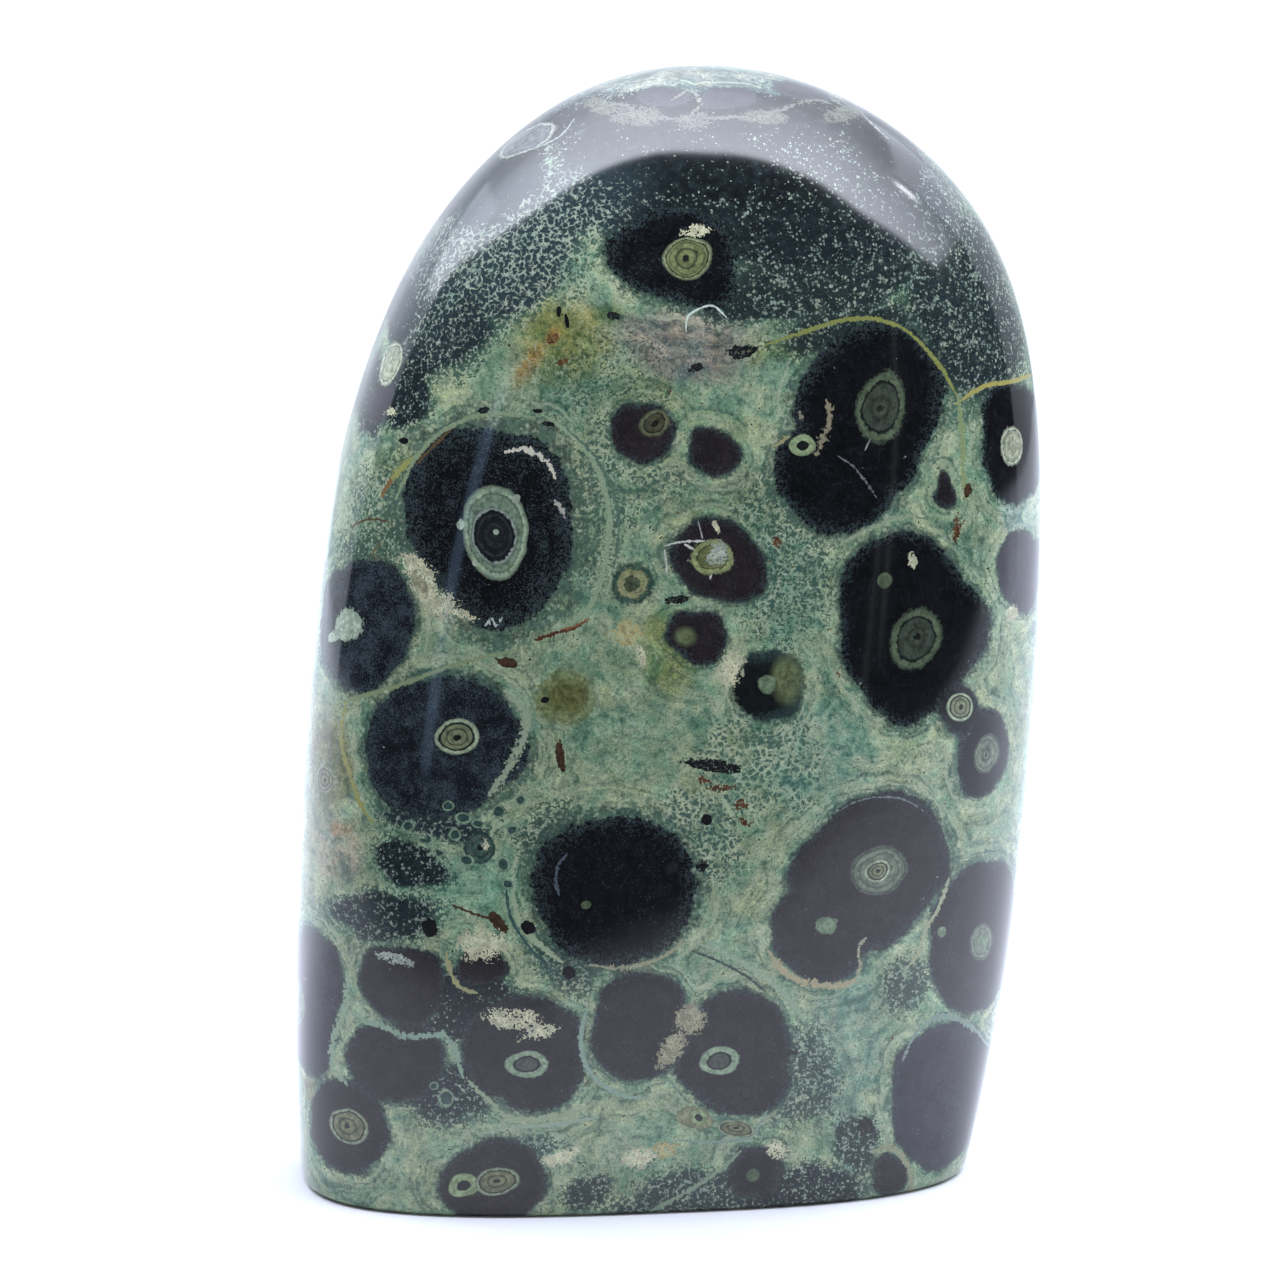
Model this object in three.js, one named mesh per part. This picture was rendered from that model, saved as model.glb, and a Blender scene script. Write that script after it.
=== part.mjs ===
// A freeform of polished kambaba jasper: one solid piece of stone that stands on a flat sawn base.
// Millimetres, +Z up. The broad front face looks along -Y, and the origin is the middle of the base.

import * as THREE from 'three';

// Driving dimensions of the finished stone
const stoneHeight = 138;
const stoneWidth = 93;
const stoneThickness = 48;
const footEdgeRadius = 1.2; // the sawn base meets the sides in a small polished round

// Control points of the outline of the front face, as [x, z], from the top down to the foot.
// The last point of each side lies below the foot and only sets the slope there.
const outlineTop = [5.4, 142];
const outlineLeft = [
  [-11.8, 136.2], [-26.2, 121.4], [-34.5, 103], [-39.7, 83], [-42.2, 62.4],
  [-43.7, 41.6], [-44.4, 20.8], [-43.2, 0], [-40.6, -20.8],
];
const outlineRight = [
  [26.6, 138.2], [43.8, 124], [50.2, 104.8], [51.2, 84], [50.7, 63],
  [49.1, 42], [46.9, 21], [42.3, 0], [36, -21],
];

// Control values of the side profile, as y of the front and of the back, at the same levels
const profileTop = 1.9;
const profileFront = [-12.9, -19.7, -22.5, -23.9, -24.2, -24, -23.1, -21.2, -18.9];
const profileBack = [15.7, 21.4, 23.3, 23.9, 23.9, 23.5, 22.9, 21.8, 20.2];

// A level section is a rounded oblong: 2 is an ellipse, and more is flatter faces with tighter sides
const sectionPower = 2.8;

// Fineness of the facets
const sectionPoints = 80;
const levels = 38;
const footLevels = 3;

const levelCount = outlineLeft.length - 1; // spline spans from the top down to the foot

// One closed list of control values, from the left or front foot over the top to the other foot
function overTheTop(descending, top, ascending) {
  return [...[...descending].reverse(), top, ...ascending];
}

const outlineX = overTheTop(outlineLeft.map((p) => p[0]), outlineTop[0], outlineRight.map((p) => p[0]));
const outlineZ = overTheTop(outlineLeft.map((p) => p[1]), outlineTop[1], outlineRight.map((p) => p[1]));
const profileY = overTheTop(profileFront, profileTop, profileBack);

// Uniform cubic B-spline through the neighbourhood of its control values. The top is at 0,
// the left or front side has negative places, and the foot is at plus or minus levelCount.
function onSpline(values, place) {
  const middle = (values.length - 1) / 2;
  const span = Math.min(Math.max(Math.floor(place + middle), 1), values.length - 3);
  const t = place + middle - span;
  const weights = [
    (1 - t) ** 3,
    3 * t ** 3 - 6 * t ** 2 + 4,
    -3 * t ** 3 + 3 * t ** 2 + 3 * t + 1,
    t ** 3,
  ];
  return weights.reduce((sum, weight, k) => sum + weight * values[span - 1 + k], 0) / 6;
}

// Centre and half axes of the section at a place between the top, 0, and the foot, levelCount
function sectionAt(place) {
  const ends = (values) => [onSpline(values, -place), onSpline(values, place)];
  const [leftX, rightX] = ends(outlineX);
  const [leftZ, rightZ] = ends(outlineZ);
  const [frontY, backY] = ends(profileY);
  return {
    centre: new THREE.Vector3((leftX + rightX) / 2, (frontY + backY) / 2, (leftZ + rightZ) / 2),
    across: new THREE.Vector3((rightX - leftX) / 2, 0, (rightZ - leftZ) / 2),
    deep: (backY - frontY) / 2,
    power: 2 + (sectionPower - 2) * THREE.MathUtils.smoothstep(place, 0, 3),
  };
}

// Points round a section, inset towards its centre, at its own height or at one that is given
function ringOf(section, inset = 0, height = null) {
  const ring = [];
  const shrink = 1 - inset / section.across.length();
  for (let i = 0; i < sectionPoints; i += 1) {
    const turn = (2 * Math.PI * i) / sectionPoints;
    const reach = (Math.abs(Math.cos(turn)) ** section.power + Math.abs(Math.sin(turn)) ** section.power)
      ** (-1 / section.power);
    const point = section.centre.clone().addScaledVector(section.across, shrink * reach * Math.cos(turn));
    point.y += (section.deep - inset) * reach * Math.sin(turn);
    if (height !== null) point.z = height;
    ring.push(point);
  }
  return ring;
}

// The place between the top and the foot where the middle of the section has a given height
function placeAtHeight(height) {
  let [low, high] = [0, levelCount];
  for (let i = 0; i < 40; i += 1) {
    const middle = (low + high) / 2;
    if (sectionAt(middle).centre.z > height) low = middle;
    else high = middle;
  }
  return (low + high) / 2;
}

// Rings from the crown down to the foot, then round the foot's edge to the flat base
function stoneRings() {
  const footPlace = placeAtHeight(footEdgeRadius);
  const rings = [];
  for (let i = 1; i <= levels; i += 1) rings.push(ringOf(sectionAt((footPlace * i) / levels)));
  for (let i = 1; i <= footLevels; i += 1) {
    const angle = (Math.PI / 2) * (i / footLevels);
    const height = footEdgeRadius * (1 - Math.sin(angle));
    const inset = footEdgeRadius * (1 - Math.cos(angle));
    rings.push(ringOf(sectionAt(placeAtHeight(height)), inset, height));
  }
  return rings;
}

// Joins the crown, the rings and the middle of the base into one closed skin
function skinOf(rings) {
  const crown = sectionAt(0).centre;
  const lastRing = rings[rings.length - 1];
  const baseMiddle = lastRing.reduce((sum, p) => sum.add(p), new THREE.Vector3()).divideScalar(sectionPoints);
  const points = [crown, ...rings.flat(), baseMiddle];
  const baseIndex = points.length - 1;
  const indexOf = (ring, i) => 1 + ring * sectionPoints + (i % sectionPoints);
  const faces = [];
  for (let i = 0; i < sectionPoints; i += 1) {
    faces.push(0, indexOf(0, i), indexOf(0, i + 1));
    for (let ring = 0; ring < rings.length - 1; ring += 1) {
      const [a, b] = [indexOf(ring, i), indexOf(ring, i + 1)];
      const [c, d] = [indexOf(ring + 1, i), indexOf(ring + 1, i + 1)];
      faces.push(a, c, b, b, c, d);
    }
    faces.push(baseIndex, indexOf(rings.length - 1, i + 1), indexOf(rings.length - 1, i));
  }
  const skin = new THREE.BufferGeometry().setFromPoints(points);
  skin.setIndex(faces);
  return skin;
}

// Brings the skin to the driving dimensions, standing on z = 0 with the middle of its box at the origin
function fitToSize(skin) {
  skin.computeBoundingBox();
  const size = skin.boundingBox.getSize(new THREE.Vector3());
  const middle = skin.boundingBox.getCenter(new THREE.Vector3());
  skin.translate(-middle.x, -middle.y, -skin.boundingBox.min.z);
  skin.scale(stoneWidth / size.x, stoneThickness / size.y, stoneHeight / size.z);
  skin.computeVertexNormals();
  return skin;
}

const polishedJasper = new THREE.MeshStandardMaterial({ color: 0x2c3a33, roughness: 0.12, metalness: 0 });

const stone = new THREE.Mesh(fitToSize(skinOf(stoneRings())), polishedJasper);
stone.name = 'stone';

const kambabaJasper = new THREE.Group();
kambabaJasper.add(stone);

export default kambabaJasper;
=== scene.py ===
import math

import bpy
import numpy as np
from mathutils import Matrix, Vector
from mathutils.bvhtree import BVHTree


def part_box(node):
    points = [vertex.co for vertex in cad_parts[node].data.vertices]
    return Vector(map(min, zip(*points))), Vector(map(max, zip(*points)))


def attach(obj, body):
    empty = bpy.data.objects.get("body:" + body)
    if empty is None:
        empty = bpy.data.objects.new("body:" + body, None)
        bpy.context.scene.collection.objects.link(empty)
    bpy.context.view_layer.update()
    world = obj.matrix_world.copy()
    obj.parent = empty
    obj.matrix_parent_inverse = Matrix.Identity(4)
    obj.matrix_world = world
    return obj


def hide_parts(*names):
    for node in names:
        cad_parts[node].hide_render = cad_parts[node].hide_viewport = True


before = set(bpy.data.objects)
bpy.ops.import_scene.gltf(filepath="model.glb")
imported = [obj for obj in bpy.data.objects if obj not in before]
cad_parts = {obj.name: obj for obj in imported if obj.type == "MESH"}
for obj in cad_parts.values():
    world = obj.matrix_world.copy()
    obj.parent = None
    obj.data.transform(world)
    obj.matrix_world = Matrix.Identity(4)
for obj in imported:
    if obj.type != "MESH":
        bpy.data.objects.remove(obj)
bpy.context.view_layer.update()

mm = 0.001  # the lists below are in millimetres, Blender is in metres

viewpoint = dict(
    azimuth=-7.5, elevation=10.5,  # degrees round the stone and above the table
    distance=650,  # mm from the target
    target=(-3.0, 0, 67.45),
    focalLength=147.9, sensor=36,
    pictureSide=1280,  # pixels of the reference picture, which is square
    clip=(0.01, 10),  # m
)
turn, rise = math.radians(viewpoint["azimuth"]), math.radians(viewpoint["elevation"])
toCamera = np.array([math.sin(turn) * math.cos(rise), -math.cos(turn) * math.cos(rise), math.sin(rise)])
viewRight = np.array([math.cos(turn), math.sin(turn), 0])
viewUp = np.cross(toCamera, viewRight)
eyePoint = np.array(viewpoint["target"]) + viewpoint["distance"] * toCamera
# one pixel of the reference picture at the stone, in mm
pixel = viewpoint["distance"] * viewpoint["sensor"] / (viewpoint["focalLength"] * viewpoint["pictureSide"])


def addCamera():
    data = bpy.data.cameras.new("tableCamera")
    data.lens, data.sensor_width = viewpoint["focalLength"], viewpoint["sensor"]
    data.clip_start, data.clip_end = viewpoint["clip"]
    camera = bpy.data.objects.new("tableCamera", data)
    columns = np.column_stack((viewRight, viewUp, toCamera, eyePoint * mm))
    camera.matrix_world = Matrix([*columns.tolist(), (0, 0, 0, 1)])
    bpy.context.scene.collection.objects.link(camera)
    bpy.context.scene.camera = camera


addCamera()
print("camera set")

stone = dict(
    # outline of the front face and side profile, from the top down to the foot, mm
    top=(5.4, 142),
    left=[(-11.8, 136.2), (-26.2, 121.4), (-34.5, 103), (-39.7, 83), (-42.2, 62.4),
          (-43.7, 41.6), (-44.4, 20.8), (-43.2, 0), (-40.6, -20.8)],
    right=[(26.6, 138.2), (43.8, 124), (50.2, 104.8), (51.2, 84), (50.7, 63),
           (49.1, 42), (46.9, 21), (42.3, 0), (36, -21)],
    profileTop=1.9,
    front=[-12.9, -19.7, -22.5, -23.9, -24.2, -24, -23.1, -21.2, -18.9],
    back=[15.7, 21.4, 23.3, 23.9, 23.9, 23.5, 22.9, 21.8, 20.2],
    sectionPower=2.8,  # 2 is an ellipse, more is flatter faces
    roundCrown=3,  # spans of the spline from the crown over which the sections reach that power
    footRound=1.2,
    around=404, down=228, footRings=5,  # fineness of the mesh
    frontShare=1.7,  # how much closer the points stand on the front than on the back
)


def onSpline(values, place):  # uniform cubic B-spline, 0 is the crown
    values = np.asarray(values, float)
    middle = (len(values) - 1) / 2
    span = np.clip(np.floor(place + middle), 1, len(values) - 3).astype(int)
    t = place + middle - span
    weights = ((1 - t) ** 3, 3 * t**3 - 6 * t**2 + 4, -3 * t**3 + 3 * t**2 + 3 * t + 1, t**3)
    return sum(w * values[span - 1 + k] for k, w in enumerate(weights)) / 6


def overTheTop(left, top, right):
    return [*reversed(left), top, *right]


outlineX = overTheTop([p[0] for p in stone["left"]], stone["top"][0], [p[0] for p in stone["right"]])
outlineZ = overTheTop([p[1] for p in stone["left"]], stone["top"][1], [p[1] for p in stone["right"]])
profileY = overTheTop(stone["front"], stone["profileTop"], stone["back"])


def easeStep(low, high, value):
    t = np.clip((value - low) / (high - low), 0, 1)
    return t * t * (3 - 2 * t)


def sectionsAt(place):  # centre, half axes and roundness of the level sections
    leftX, rightX = onSpline(outlineX, -place), onSpline(outlineX, place)
    leftZ, rightZ = onSpline(outlineZ, -place), onSpline(outlineZ, place)
    frontY, backY = onSpline(profileY, -place), onSpline(profileY, place)
    centre = np.stack([(leftX + rightX) / 2, (frontY + backY) / 2, (leftZ + rightZ) / 2], -1)
    across = np.stack([(rightX - leftX) / 2, 0 * place, (rightZ - leftZ) / 2], -1)
    power = 2 + (stone["sectionPower"] - 2) * easeStep(0, stone["roundCrown"], place)
    return centre, across, (backY - frontY) / 2, power


def ringPoints(place, turns, inset, height=None):
    centre, across, deep, power = sectionsAt(place)
    c, s = np.cos(turns)[None, :], np.sin(turns)[None, :]
    reach = (abs(c) ** power[:, None] + abs(s) ** power[:, None]) ** (-1 / power[:, None])
    shrink = 1 - inset / np.linalg.norm(across, axis=1)
    points = centre[:, None, :] + (across * shrink[:, None])[:, None, :] * (reach * c)[:, :, None]
    points[:, :, 1] += (deep - inset)[:, None] * reach * s
    if height is not None:
        points[:, :, 2] = height[:, None]
    return points


def turnsRound():  # even steps along a section at mid height, closer on the front
    midLevel, fineSteps = 4.0, 7200
    fine = np.linspace(0, 2 * np.pi, fineSteps + 1)
    ring = ringPoints(np.array([midLevel]), fine, np.zeros(1))[0]
    middle = (fine[1:] + fine[:-1]) / 2
    weight = 1 + (stone["frontShare"] - 1) * easeStep(-0.2, 0.9, -np.sin(middle))
    along = np.concatenate([[0], np.cumsum(np.linalg.norm(np.diff(ring, axis=0), axis=1) * weight)])
    return np.interp(np.arange(stone["around"]) / stone["around"] * along[-1], along, fine)


def placeAtHeight(height):  # bisection between the crown and the foot
    low, high = np.zeros_like(height), np.full_like(height, len(stone["left"]) - 1.0)
    for _ in range(40):
        middle = (low + high) / 2
        above = sectionsAt(middle)[0][:, 2] > height
        low, high = np.where(above, middle, low), np.where(above, high, middle)
    return (low + high) / 2


def stoneMesh():
    turns, r = turnsRound(), stone["footRound"]
    footPlace = placeAtHeight(np.array([r]))[0]
    place = footPlace * np.arange(1, stone["down"] + 1) / stone["down"]
    sides = ringPoints(place, turns, np.zeros_like(place))
    angle = np.pi / 2 * np.arange(1, stone["footRings"] + 1) / stone["footRings"]
    height = r * (1 - np.sin(angle))
    foot = ringPoints(placeAtHeight(height), turns, r * (1 - np.cos(angle)), height)
    rings = np.concatenate([sides, foot])
    crown = sectionsAt(np.zeros(1))[0]
    points = np.concatenate([crown, rings.reshape(-1, 3), foot[-1].mean(0)[None]])

    n, count = stone["around"], len(rings)
    here, after = np.arange(n), (np.arange(n) + 1) % n
    faces = [(0, 1 + i, 1 + j) for i, j in zip(here, after)]
    for ring in range(count - 1):
        a, b = 1 + ring * n, 1 + (ring + 1) * n
        faces += [(a + i, b + i, b + j, a + j) for i, j in zip(here, after)]
    last = 1 + (count - 1) * n
    faces += [(len(points) - 1, last + j, last + i) for i, j in zip(here, after)]

    low, high = (np.array(corner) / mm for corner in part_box("stone"))
    span = np.ptp(points, axis=0)
    points = low + (points - points.min(0)) * (high - low) / span
    mesh = bpy.data.meshes.new("polishedStone")
    mesh.from_pydata((points * mm).tolist(), [], [tuple(int(v) for v in face) for face in faces])
    mesh.polygons.foreach_set("use_smooth", [True] * (len(faces) - n) + [False] * n)
    mesh.update()
    return mesh, points, faces


mesh, skin, skinFaces = stoneMesh()
skinNormals = np.zeros(len(skin) * 3, np.float32)
mesh.vertex_normals.foreach_get("vector", skinNormals)
skinNormals = skinNormals.reshape(-1, 3)
surface = BVHTree.FromPolygons(skin.tolist(), skinFaces)
print("skin made,", len(skin), "points")


def spotAt(x, y):  # point of the stone, in mm, under a pixel of the reference picture
    half = viewpoint["pictureSide"] / 2
    scale = viewpoint["sensor"] / (viewpoint["focalLength"] * viewpoint["pictureSide"])
    ray = -toCamera + viewRight * (x - half) * scale + viewUp * (half - y) * scale
    hit = surface.ray_cast(Vector(eyePoint), Vector(ray).normalized())[0]
    if hit is None:  # just off the edge: the nearest point of the skin
        hit = surface.find_nearest(Vector(eyePoint + ray * viewpoint["distance"]))[0]
    return np.array(hit)


def wander(points, size, seed):  # smooth random vectors that change over about `size` mm
    count, shift = 32, 100  # the lattice repeats after count cells, the shift keeps every cell positive
    lattice = np.random.default_rng(seed).uniform(-1, 1, (count, count, count, 3))
    cell = np.asarray(points) / size + shift
    low = np.floor(cell).astype(int)
    t = cell - low
    t = t * t * (3 - 2 * t)
    total = np.zeros_like(cell)
    for corner in np.ndindex(2, 2, 2):
        weight = np.prod(np.where(corner, t, 1 - t), axis=-1)
        index = (low + corner) % count
        total += weight[..., None] * lattice[index[..., 0], index[..., 1], index[..., 2]]
    return total


ripples = [(0.75, 7, 1), (0.45, 3.2, 2), (0.25, 1.5, 3)]  # reach and size in mm, seed


def ripple(points):  # how far the outlines wander from their smooth shapes, mm
    return sum(reach * wander(points, size, seed) for reach, size, seed in ripples)


skinRipple = ripple(skin)


def awayFrom(centre):  # from a centre to every point of the skin, with the wander added
    return skin - centre + skinRipple - ripple(centre[None])[0]


def reachAt(reach, angle):  # smooth outline through its reaches at even angles
    reach = np.asarray(reach, float)
    step = 2 * np.pi / len(reach)
    t = angle / step
    k = np.floor(t).astype(int)
    t = t - k
    a, b, c, d = (np.take(reach, k + j, mode="wrap") for j in (-1, 0, 1, 2))
    return b + 0.5 * t * (c - a + t * (2 * a - 5 * b + 4 * c - d + t * (3 * (b - c) + d - a)))


def paint(red, green, blue):  # a colour as a picture shows it, to the linear values that Blender wants
    return np.array([((c / 255 + 0.055) / 1.055) ** 2.4 if c > 10 else c / 255 / 12.92
                     for c in (red, green, blue)])


tones = dict(  # what the orbs are filled with
    ink=paint(12, 13, 16), night=paint(21, 24, 29), umber=paint(33, 29, 31),
    plum=paint(44, 42, 48), pine=paint(34, 46, 44), soot=paint(40, 39, 45),
)

# Dark orbs: the middle in the picture, then the reach to the outline at eight even angles from the right and
# counterclockwise, all in pixels, how ragged the edge is, the width of its dark fringe in mm, tone and mottling
orbs = {
    "crown": ((672, 252), (58, 52, 44, 52, 62, 50, 44, 66), 0.6, 1.2, "ink", 0.3),
    "bullseye": ((488, 525), (80, 92, 96, 94, 82, 74, 98, 92), 0.38, 3.4, "ink", 0.7),
    "shoulder": ((378, 405), (15, 22, 21, 14, 18, 18, 20, 15), 0.2, 0.4, "plum", 0.2),
    "leftFace": ((362, 626), (54, 62, 64, 60, 58, 62, 62, 54), 0.35, 1.0, "night", 1.0),
    "ringed": ((437, 752), (82, 76, 66, 72, 78, 76, 66, 62), 0.4, 1.4, "night", 0.9),
    "cluster": ((880, 402), (62, 68, 78, 76, 84, 90, 96, 58), 0.4, 1.6, "ink", 0.0),
    "clusterLow": ((834, 470), (66, 66, 62, 62, 58, 54, 58, 64), 0.45, 1.4, "ink", 0.1),
    "rightRim": ((1014, 436), (40, 50, 50, 42, 34, 44, 64, 60), 0.5, 0.5, "ink", 0.2),
    "cracked": ((718, 557), (48, 40, 40, 46, 46, 38, 42, 52), 0.1, 0.5, "umber", 0.2),
    "crescent": ((697, 638), (28, 30, 25, 29, 28, 20, 25, 28), 0.12, 0.4, "umber", 0.2),
    "oliveRing": ((772, 685), (31, 36, 34, 34, 32, 32, 32, 34), 0.15, 0.6, "pine", 0.2),
    "pebble": ((641, 434), (32, 29, 25, 31, 29, 28, 26, 30), 0.2, 0.5, "umber", 0.2),
    "plumPebble": ((717, 451), (26, 24, 21, 27, 28, 22, 23, 26), 0.15, 0.4, "umber", 0.2),
    "teardrop": ((944, 492), (11, 10, 20, 9, 9, 13, 16, 17), 0.1, 0.2, "umber", 0.2),
    "bigRight": ((915, 630), (80, 74, 92, 96, 70, 75, 90, 72), 0.28, 0.9, "ink", 0.0),
    "rightEdge": ((1019, 570), (30, 40, 40, 34, 29, 34, 42, 42), 0.3, 0.4, "soot", 0.2),
    "buttonUp": ((961, 707), (22, 21, 20, 20, 21, 21, 22, 22), 0.1, 0.3, "ink", 0.2),
    "buttonDown": ((982, 757), (27, 36, 44, 31, 27, 32, 42, 31), 0.12, 0.4, "ink", 0.2),
    "great": ((618, 888), (78, 76, 74, 82, 82, 76, 74, 72), 0.65, 1.8, "ink", 0.3),
    "many": ((880, 868), (71, 74, 76, 74, 86, 88, 76, 64), 0.2, 0.9, "umber", 0.2),
    "manyLow": ((815, 925), (46, 50, 50, 44, 47, 48, 53, 58), 0.15, 0.6, "umber", 0.2),
    "rightLow": ((975, 940), (50, 66, 80, 60, 46, 60, 78, 62), 0.15, 0.6, "umber", 0.2),
    "rightFoot": ((940, 1088), (56, 64, 66, 60, 52, 62, 92, 84), 0.15, 0.6, "soot", 0.2),
    "leftBand": ((312, 1000), (34, 42, 64, 60, 50, 60, 84, 36), 0.5, 0.6, "soot", 0.2),
    "lowFirst": ((402, 985), (46, 46, 36, 46, 42, 38, 38, 48), 0.4, 0.4, "umber", 0.2),
    "lowSecond": ((392, 1060), (52, 48, 34, 42, 46, 50, 44, 48), 0.4, 0.5, "umber", 0.2),
    "lowLeft": ((346, 1122), (46, 44, 42, 46, 50, 54, 52, 48), 0.5, 0.6, "umber", 0.2),
    "lowMiddle": ((528, 1060), (52, 62, 64, 72, 66, 52, 52, 56), 0.45, 0.6, "umber", 0.2),
    "lowRight": ((637, 1030), (46, 56, 60, 58, 48, 50, 52, 46), 0.25, 0.6, "umber", 0.2),
    "almond": ((728, 1060), (66, 70, 78, 56, 58, 50, 50, 62), 0.4, 0.6, "umber", 0.2),
    "bottom": ((492, 1182), (54, 50, 48, 48, 53, 46, 40, 48), 0.3, 0.5, "umber", 0.2),
    "bottomRight": ((753, 1171), (36, 32, 24, 26, 26, 26, 24, 32), 0.5, 0.8, "umber", 0.2),
    "footDark": ((891, 1175), (19, 20, 20, 22, 17, 20, 22, 22), 0.3, 0.3, "umber", 0.2),
    "topLeft": ((661, 97), (24, 15, 11, 15, 22, 14, 11, 14), 0.5, 0.6, "plum", 0.2),
    "topMiddle": ((728, 99), (33, 18, 13, 18, 28, 18, 13, 18), 0.5, 0.6, "plum", 0.2),
    "topRight": ((800, 90), (30, 16, 11, 15, 26, 14, 11, 15), 0.5, 0.6, "plum", 0.2),
    "darkLens": ((476, 968), (26, 22, 17, 18, 22, 20, 17, 22), 0.4, 0.2, "umber", 0.2),
}


def plain(colour, fine=0.0, **more):  # the look of a spot that is one colour all over
    return dict(rings=(0.0, 0.0, 0.0), rim=colour, disc=colour, fine=fine, **more)


# What a spot or an eye looks like. rings: inner edge of the pale rim, outer edge of the middle disc and edge
# of the centre dot, as shares of its size. fine is how strong its thin rings are, edge the softness and
# ragged the roughness of its outline.
looks = dict(
    oliveEye=dict(rings=(0.86, 0.81, 0.15), rim=(112, 122, 92), disc=(96, 104, 70), fine=0.7),
    # the shell lies on the top; its pale rim is painted dark as painted shade against the strong light from above
    target=dict(rings=(0.80, 0.69, 0.17), rim=(134, 148, 124), disc=(100, 108, 84), fine=0.0),
    paleOval=dict(rings=(0.82, 0.78, 0.0), rim=(150, 158, 138), disc=(136, 142, 122), fine=0.5, ragged=0.12),
    shell=dict(rings=(0.84, 0.80, 0.0), rim=(116, 122, 116), disc=(78, 84, 86), fine=0.5, ragged=0.14),
    broadRing=dict(rings=(0.84, 0.82, 0.0), rim=(124, 142, 120), disc=(98, 116, 98), fine=0.3, ragged=0.03),
    socket=dict(rings=(0.86, 0.84, 0.0), rim=(118, 130, 122), disc=(24, 28, 34), ragged=0.12, fine=0.9),
    ringSmall=dict(rings=(0.46, 0.0, 0.0), rim=(116, 132, 100), disc=(26, 22, 24), fine=0.3),
    blob=plain((138, 152, 136), ragged=0.3),
    fuzzy=dict(rings=(0.76, 0.68, 0.12), rim=(72, 84, 66), disc=(52, 60, 52), fine=0.9, ragged=0.14, edge=0.12),
    many=dict(rings=(0.92, 0.88, 0.10), rim=(84, 92, 82), disc=(90, 100, 86), fine=0.8, ragged=0.08),
    softOlive=plain((98, 108, 74), fine=0.4, edge=0.40, ragged=0.22),
    oliveCore=plain((80, 84, 52), edge=0.60),
    crackedEye=dict(rings=(0.70, 0.66, 0.0), rim=(120, 128, 88), disc=(88, 94, 62), fine=0.3, ragged=0.16),
    speckledTan=dict(rings=(0.50, 0.49, 0.0), rim=(116, 120, 88), disc=(66, 74, 58), fine=0.6, ragged=0.34),
    tealSoft=plain((48, 68, 60), edge=0.2, ragged=0.2),
    inkSoft=plain((18, 22, 23), edge=0.45, ragged=0.2),
    almond=dict(rings=(0.62, 0.50, 0.0), rim=(116, 134, 112), disc=(60, 66, 62), fine=0.0, ragged=0.08),
    tanEye=dict(rings=(0.84, 0.76, 0.16), rim=(114, 126, 104), disc=(98, 102, 78), fine=0.15),
    tanDisc=plain((112, 116, 90), fine=0.3, ragged=0.1),
    green=plain((92, 110, 88), ragged=0.2, edge=0.2),
    tealDisc=dict(rings=(0.9, 0.85, 0.2), rim=(54, 76, 70), disc=(60, 80, 74), fine=0.6),
    black=plain((20, 20, 23), ragged=0.2),
    blackRag=plain((26, 28, 30), ragged=0.4),
    brown=plain((56, 42, 32), ragged=0.3),
    rust=plain((80, 54, 38), ragged=0.55),
    creamRag=plain((172, 172, 146), ragged=0.5),
    paleRag=plain((150, 160, 150), ragged=0.7),
    tanRag=plain((134, 132, 110), ragged=0.45),
    orange=plain((152, 146, 106), ragged=0.7),
    # pale swirls of the top, painted dark: painted shade against the strong light from above
    topCreamShaded=plain((82, 86, 78), ragged=0.65),
    pebbleEye=dict(rings=(0.72, 0.66, 0.26), rim=(84, 88, 66), disc=(62, 62, 48), fine=0.5, edge=0.2, ragged=0.1),
    oliveHaze=plain((82, 92, 66), edge=0.9, ragged=0.2),
    bubble=dict(rings=(0.68, 0.67, 0.0), rim=(104, 126, 106), disc=(46, 64, 62), fine=0.0, edge=0.1, ragged=0.12),
    chip=plain((66, 78, 60), ragged=0.1, edge=0.15),
)

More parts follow.
